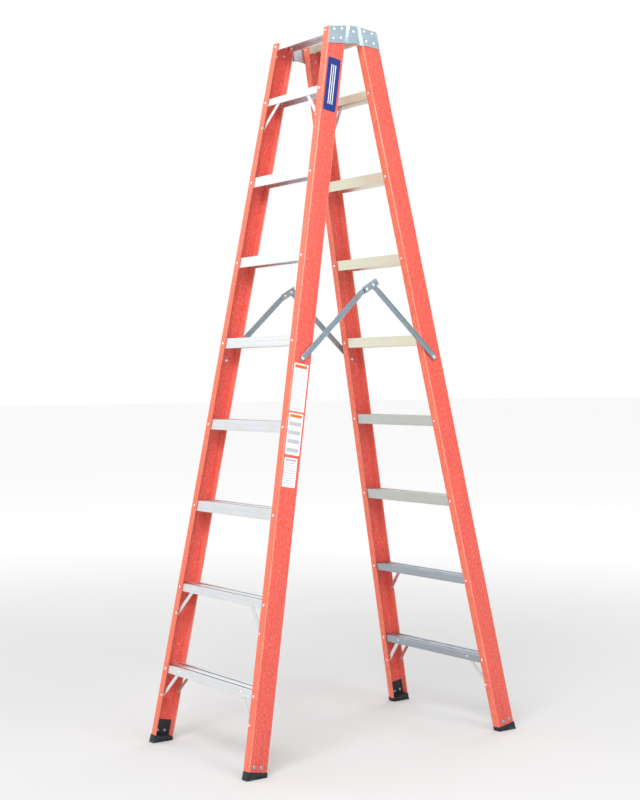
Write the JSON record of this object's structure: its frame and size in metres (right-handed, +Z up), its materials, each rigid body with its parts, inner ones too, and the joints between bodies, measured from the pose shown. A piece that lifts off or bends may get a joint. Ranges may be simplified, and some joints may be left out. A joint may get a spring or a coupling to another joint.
{
  "type": "step ladder",
  "caption": "Twin-sided folding step ladder: two tapering channel-rail frames with grooved treads, hinged at the top and held open by folding spreaders.",
  "frame": {"origin": "on the floor under the middle of the open ladder", "axes": "+Z up, X across the width of the treads, +Y from the front frame to the rear frame"},
  "size_m": [0.6776, 1.1788, 2.5584],
  "materials": {
    "rail_fibreglass": "orange-red glass-fibre profile, finely speckled, satin",
    "tread_aluminium": "mill-finish extrusion with lengthwise grooves",
    "brace_aluminium": "mill-finish flat strip",
    "foot_rubber": "matte black",
    "hinge_steel": "zinc-plated sheet, blue-grey",
    "spreader_steel": "galvanised, blue-grey",
    "rivet_steel": "bright domed rivets"
  },
  "bodies": {
    "front_frame": {"front_left_rail": "rail_fibreglass", "front_left_foot": "foot_rubber", "front_left_hinge_plate": "hinge_steel", "front_left_brace_1": "brace_aluminium", "front_left_brace_2": "brace_aluminium", "front_left_brace_8": "brace_aluminium", "front_left_inner_brace_1": "brace_aluminium", "front_right_rail": "rail_fibreglass", "front_right_foot": "foot_rubber", "front_right_hinge_plate": "hinge_steel", "front_right_brace_1": "brace_aluminium", "front_right_brace_2": "brace_aluminium", "front_right_brace_8": "brace_aluminium", "front_right_inner_brace_1": "brace_aluminium", "front_tread_1": "tread_aluminium", "front_tread_2": "tread_aluminium", "front_tread_3": "tread_aluminium", "front_tread_4": "tread_aluminium", "front_tread_5": "tread_aluminium", "front_tread_6": "tread_aluminium", "front_tread_7": "tread_aluminium", "front_tread_8": "tread_aluminium", "front_tread_9": "tread_aluminium", "left_hinge_pivot": "rivet_steel", "right_hinge_pivot": "rivet_steel", "front_left_spreader_pin": "rivet_steel", "front_right_spreader_pin": "rivet_steel"},
    "rear_frame": {"rear_left_rail": "rail_fibreglass", "rear_left_foot": "foot_rubber", "rear_left_hinge_plate": "hinge_steel", "rear_left_brace_1": "brace_aluminium", "rear_left_brace_2": "brace_aluminium", "rear_left_brace_8": "brace_aluminium", "rear_left_inner_brace_1": "brace_aluminium", "rear_right_rail": "rail_fibreglass", "rear_right_foot": "foot_rubber", "rear_right_hinge_plate": "hinge_steel", "rear_right_brace_1": "brace_aluminium", "rear_right_brace_2": "brace_aluminium", "rear_right_brace_8": "brace_aluminium", "rear_right_inner_brace_1": "brace_aluminium", "rear_tread_1": "tread_aluminium", "rear_tread_2": "tread_aluminium", "rear_tread_3": "tread_aluminium", "rear_tread_4": "tread_aluminium", "rear_tread_5": "tread_aluminium", "rear_tread_6": "tread_aluminium", "rear_tread_7": "tread_aluminium", "rear_tread_8": "tread_aluminium", "rear_tread_9": "tread_aluminium"},
    "left_front_spreader": {"left_front_spreader_bar": "spreader_steel", "left_elbow_bracket": "spreader_steel", "left_elbow_pin": "rivet_steel"},
    "left_rear_spreader": {"left_rear_spreader_bar": "spreader_steel", "rear_left_spreader_pin": "rivet_steel"},
    "right_front_spreader": {"right_front_spreader_bar": "spreader_steel", "right_elbow_bracket": "spreader_steel", "right_elbow_pin": "rivet_steel"},
    "right_rear_spreader": {"right_rear_spreader_bar": "spreader_steel", "rear_right_spreader_pin": "rivet_steel"}
  },
  "joints": [
    {"name": "fold", "type": "hinge", "parent": "front_frame", "child": "rear_frame", "pos_m": [0, 0, 2.53871], "axis": [-1, 0, 0], "range_deg": [0, 21.4]},
    {"name": "left_front_spreader_swing", "type": "hinge", "parent": "front_frame", "child": "left_front_spreader", "pos_m": [-0.25259, -0.28626, 1.38404], "axis": [1, 0, 0], "range_deg": [0, 21.2]},
    {"name": "left_elbow", "type": "hinge", "parent": "left_front_spreader", "child": "left_rear_spreader", "pos_m": [-0.25259, 0.012, 1.63954], "axis": [-1, 0, 0], "range_deg": [0, 76.6]},
    {"name": "right_front_spreader_swing", "type": "hinge", "parent": "front_frame", "child": "right_front_spreader", "pos_m": [0.25259, -0.28626, 1.38404], "axis": [1, 0, 0], "range_deg": [0, 21.2]},
    {"name": "right_elbow", "type": "hinge", "parent": "right_front_spreader", "child": "right_rear_spreader", "pos_m": [0.25259, 0.012, 1.63954], "axis": [-1, 0, 0], "range_deg": [0, 76.6]}
  ],
  "couplings": [
    {"joint": "left_front_spreader_swing", "follows": "fold", "ratio": 0.99031},
    {"joint": "left_elbow", "follows": "fold", "ratio": 3.5768},
    {"joint": "right_front_spreader_swing", "follows": "fold", "ratio": 0.99031},
    {"joint": "right_elbow", "follows": "fold", "ratio": 3.5768}
  ]
}
